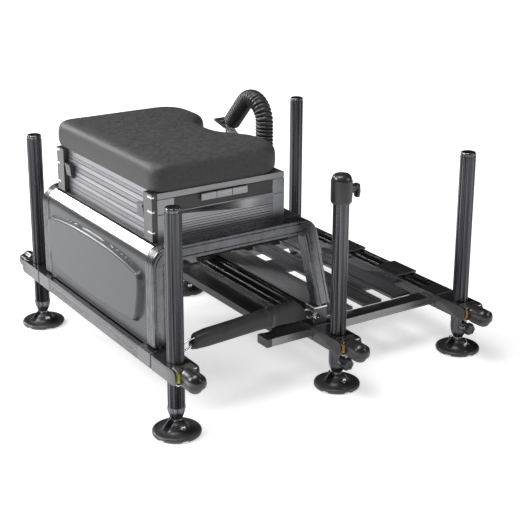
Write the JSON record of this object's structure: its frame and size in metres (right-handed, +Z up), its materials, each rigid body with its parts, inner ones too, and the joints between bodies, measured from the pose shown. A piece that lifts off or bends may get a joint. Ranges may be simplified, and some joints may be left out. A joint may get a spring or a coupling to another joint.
{
  "type": "fishing seat box",
  "caption": "Fishing seat box: padded seat over stacked tackle trays with a drawer, on a bent-tube frame with clamped adjustable legs and a pull-out slatted footplate.",
  "frame": {"origin": "centre of the footprint on the ground, between the six feet and the clamp knobs", "axes": "+X forward, the way the sitter faces; +Y to the sitter's left; +Z up"},
  "size_m": [0.8682, 0.877, 0.6155],
  "materials": {
    "frame_metal": "dark grey anodised extrusion with brighter ridges",
    "beam_metal": "black anodised extrusion",
    "plate_metal": "dark satin metal",
    "black_casting": "black powder coat on castings",
    "zinc": "yellow-tinged zinc plate",
    "chrome": "polished plate",
    "bright_rail": "bright anodised aluminium",
    "panel_grey": "mid grey moulded plastic with a slight sheen",
    "tray_grey": "dark grey with brushed and hatched bands",
    "black_plastic": "black moulded plastic",
    "seat_cover": "charcoal woven coated fabric",
    "strap_fabric": "black padded nylon",
    "hose_plastic": "black flexible ribbed hose",
    "webbing": "light grey woven webbing",
    "leg_metal": "dark anodised fluted tube with plastic cap and end fitting",
    "foot_rubber": "black hard rubber"
  },
  "bodies": {
    "seat_frame": {"side_frame_near": "frame_metal", "side_frame_far": "frame_metal", "rear_top_rail": "bright_rail", "rear_panel": "panel_grey", "front_crossbar": "plate_metal", "platform_plate": "plate_metal", "rear_beam": "beam_metal", "middle_beam": "beam_metal", "clamp_arms_rear": "black_casting", "clamp_arms_middle": "black_casting", "front_pillars": "black_casting", "frame_bolts": "chrome", "clamp_brackets_seat": "zinc", "shelf_plate": "plate_metal", "lower_tray": "tray_grey", "shoulder_strap": "strap_fabric", "strap_shackles": "chrome", "handle_hose": "hose_plastic", "handle_webbing": "webbing", "handle_buckle": "black_plastic"},
    "footplate": {"slide_rails": "beam_metal", "front_beam": "beam_metal", "deck_slat_rear": "plate_metal", "deck_slats": "plate_metal", "cross_plates": "plate_metal", "tread_plates": "plate_metal", "clamp_arms_front": "black_casting", "clamp_brackets_deck": "zinc"},
    "upper_module": {"upper_tray": "tray_grey"},
    "drawer_unit": {"drawer": "tray_grey", "drawer_pull": "bright_rail"},
    "lid": {"lid_board": "tray_grey", "cushion": "seat_cover"},
    "latch_near_body": {"latch_near": "black_plastic"},
    "latch_far_body": {"latch_far": "black_plastic"},
    "wing": {"wing_screw": "black_plastic"},
    "leg_near_rear_post": {"leg_near_rear": "leg_metal"},
    "foot_near_rear_pad": {"foot_near_rear": "foot_rubber"},
    "clamp_knob_near_rear_grip": {"clamp_knob_near_rear": "black_plastic"},
    "leg_far_rear_post": {"leg_far_rear": "leg_metal"},
    "foot_far_rear_pad": {"foot_far_rear": "foot_rubber"},
    "clamp_knob_far_rear_grip": {"clamp_knob_far_rear": "black_plastic"},
    "leg_near_middle_post": {"leg_near_middle": "leg_metal", "accessory_collar": "black_plastic"},
    "foot_near_middle_pad": {"foot_near_middle": "foot_rubber"},
    "clamp_knob_near_middle_grip": {"clamp_knob_near_middle": "black_plastic"},
    "lock_knob_near_middle_grip": {"lock_knob_near_middle": "black_plastic"},
    "leg_far_middle_post": {"leg_far_middle": "leg_metal"},
    "foot_far_middle_pad": {"foot_far_middle": "foot_rubber"},
    "clamp_knob_far_middle_grip": {"clamp_knob_far_middle": "black_plastic"},
    "lock_knob_far_middle_grip": {"lock_knob_far_middle": "black_plastic"},
    "leg_near_front_post": {"leg_near_front": "leg_metal"},
    "foot_near_front_pad": {"foot_near_front": "foot_rubber"},
    "clamp_knob_near_front_grip": {"clamp_knob_near_front": "black_plastic"},
    "lock_knob_near_front_grip": {"lock_knob_near_front": "black_plastic"},
    "leg_far_front_post": {"leg_far_front": "leg_metal"},
    "foot_far_front_pad": {"foot_far_front": "foot_rubber"},
    "clamp_knob_far_front_grip": {"clamp_knob_far_front": "black_plastic"},
    "lock_knob_far_front_grip": {"lock_knob_far_front": "black_plastic"}
  },
  "joints": [
    {"name": "footplate_slide", "type": "slide", "parent": "seat_frame", "child": "footplate", "axis": [1, 0, 0], "range_m": [0, 0.09]},
    {"name": "upper_tray_lift", "type": "slide", "parent": "seat_frame", "child": "upper_module", "axis": [0, 0, 1], "range_m": [0, 0.08]},
    {"name": "drawer_slide", "type": "slide", "parent": "upper_module", "child": "drawer_unit", "axis": [0, -1, 0], "range_m": [0, 0.25]},
    {"name": "lid_hinge", "type": "hinge", "parent": "upper_module", "child": "lid", "pos_m": [-0.0485, 0, 0.4795], "axis": [0, 1, 0], "range_deg": [0, 40]},
    {"name": "latch_near_hinge", "type": "hinge", "parent": "seat_frame", "child": "latch_near_body", "pos_m": [-0.3645, -0.177, 0.4215], "axis": [0, -1, 0], "range_deg": [0, 95]},
    {"name": "latch_far_hinge", "type": "hinge", "parent": "seat_frame", "child": "latch_far_body", "pos_m": [-0.3645, 0.177, 0.4215], "axis": [0, -1, 0], "range_deg": [0, 95]},
    {"name": "leg_near_rear_slide", "type": "slide", "parent": "seat_frame", "child": "leg_near_rear_post", "axis": [0, 0, 1], "range_m": [-0.29, 0]},
    {"name": "foot_near_rear_tilt", "type": "hinge", "parent": "leg_near_rear_post", "child": "foot_near_rear_pad", "pos_m": [-0.3825, -0.3385, 0.02], "axis": [0, 1, 0], "range_deg": [-15, 15]},
    {"name": "clamp_knob_near_rear_turn", "type": "hinge", "parent": "seat_frame", "child": "clamp_knob_near_rear_grip", "pos_m": [-0.3825, -0.3785, 0.144], "axis": [0, -1, 0], "continuous": true},
    {"name": "leg_far_rear_slide", "type": "slide", "parent": "seat_frame", "child": "leg_far_rear_post", "axis": [0, 0, 1], "range_m": [-0.29, 0]},
    {"name": "foot_far_rear_tilt", "type": "hinge", "parent": "leg_far_rear_post", "child": "foot_far_rear_pad", "pos_m": [-0.3825, 0.3385, 0.02], "axis": [0, 1, 0], "range_deg": [-15, 15]},
    {"name": "clamp_knob_far_rear_turn", "type": "hinge", "parent": "seat_frame", "child": "clamp_knob_far_rear_grip", "pos_m": [-0.3825, 0.3785, 0.144], "axis": [0, 1, 0], "continuous": true},
    {"name": "leg_near_middle_slide", "type": "slide", "parent": "seat_frame", "child": "leg_near_middle_post", "axis": [0, 0, 1], "range_m": [-0.29, 0]},
    {"name": "foot_near_middle_tilt", "type": "hinge", "parent": "leg_near_middle_post", "child": "foot_near_middle_pad", "pos_m": [0.0255, -0.3385, 0.02], "axis": [0, 1, 0], "range_deg": [-15, 15]},
    {"name": "clamp_knob_near_middle_turn", "type": "hinge", "parent": "seat_frame", "child": "clamp_knob_near_middle_grip", "pos_m": [0.0255, -0.3785, 0.109], "axis": [0, -1, 0], "continuous": true},
    {"name": "lock_knob_near_middle_turn", "type": "hinge", "parent": "leg_near_middle_post", "child": "lock_knob_near_middle_grip", "pos_m": [0.0255, -0.3685, 0.064], "axis": [0, -1, 0], "continuous": true},
    {"name": "leg_far_middle_slide", "type": "slide", "parent": "seat_frame", "child": "leg_far_middle_post", "axis": [0, 0, 1], "range_m": [-0.29, 0]},
    {"name": "foot_far_middle_tilt", "type": "hinge", "parent": "leg_far_middle_post", "child": "foot_far_middle_pad", "pos_m": [0.0255, 0.3385, 0.02], "axis": [0, 1, 0], "range_deg": [-15, 15]},
    {"name": "clamp_knob_far_middle_turn", "type": "hinge", "parent": "seat_frame", "child": "clamp_knob_far_middle_grip", "pos_m": [0.0255, 0.3785, 0.109], "axis": [0, 1, 0], "continuous": true},
    {"name": "lock_knob_far_middle_turn", "type": "hinge", "parent": "leg_far_middle_post", "child": "lock_knob_far_middle_grip", "pos_m": [0.0255, 0.3685, 0.064], "axis": [0, 1, 0], "continuous": true},
    {"name": "leg_near_front_slide", "type": "slide", "parent": "footplate", "child": "leg_near_front_post", "axis": [0, 0, 1], "range_m": [-0.29, 0]},
    {"name": "foot_near_front_tilt", "type": "hinge", "parent": "leg_near_front_post", "child": "foot_near_front_pad", "pos_m": [0.3825, -0.3385, 0.02], "axis": [0, 1, 0], "range_deg": [-15, 15]},
    {"name": "clamp_knob_near_front_turn", "type": "hinge", "parent": "footplate", "child": "clamp_knob_near_front_grip", "pos_m": [0.3825, -0.3785, 0.109], "axis": [0, -1, 0], "continuous": true},
    {"name": "lock_knob_near_front_turn", "type": "hinge", "parent": "leg_near_front_post", "child": "lock_knob_near_front_grip", "pos_m": [0.3825, -0.3685, 0.064], "axis": [0, -1, 0], "continuous": true},
    {"name": "leg_far_front_slide", "type": "slide", "parent": "footplate", "child": "leg_far_front_post", "axis": [0, 0, 1], "range_m": [-0.29, 0]},
    {"name": "foot_far_front_tilt", "type": "hinge", "parent": "leg_far_front_post", "child": "foot_far_front_pad", "pos_m": [0.3825, 0.3385, 0.02], "axis": [0, 1, 0], "range_deg": [-15, 15]},
    {"name": "clamp_knob_far_front_turn", "type": "hinge", "parent": "footplate", "child": "clamp_knob_far_front_grip", "pos_m": [0.3825, 0.3785, 0.109], "axis": [0, 1, 0], "continuous": true},
    {"name": "lock_knob_far_front_turn", "type": "hinge", "parent": "leg_far_front_post", "child": "lock_knob_far_front_grip", "pos_m": [0.3825, 0.3685, 0.064], "axis": [0, 1, 0], "continuous": true},
    {"name": "wing_screw_turn", "type": "hinge", "parent": "leg_near_middle_post", "child": "wing", "pos_m": [0.0555, -0.3385, 0.453], "axis": [1, 0, 0], "continuous": true}
  ]
}
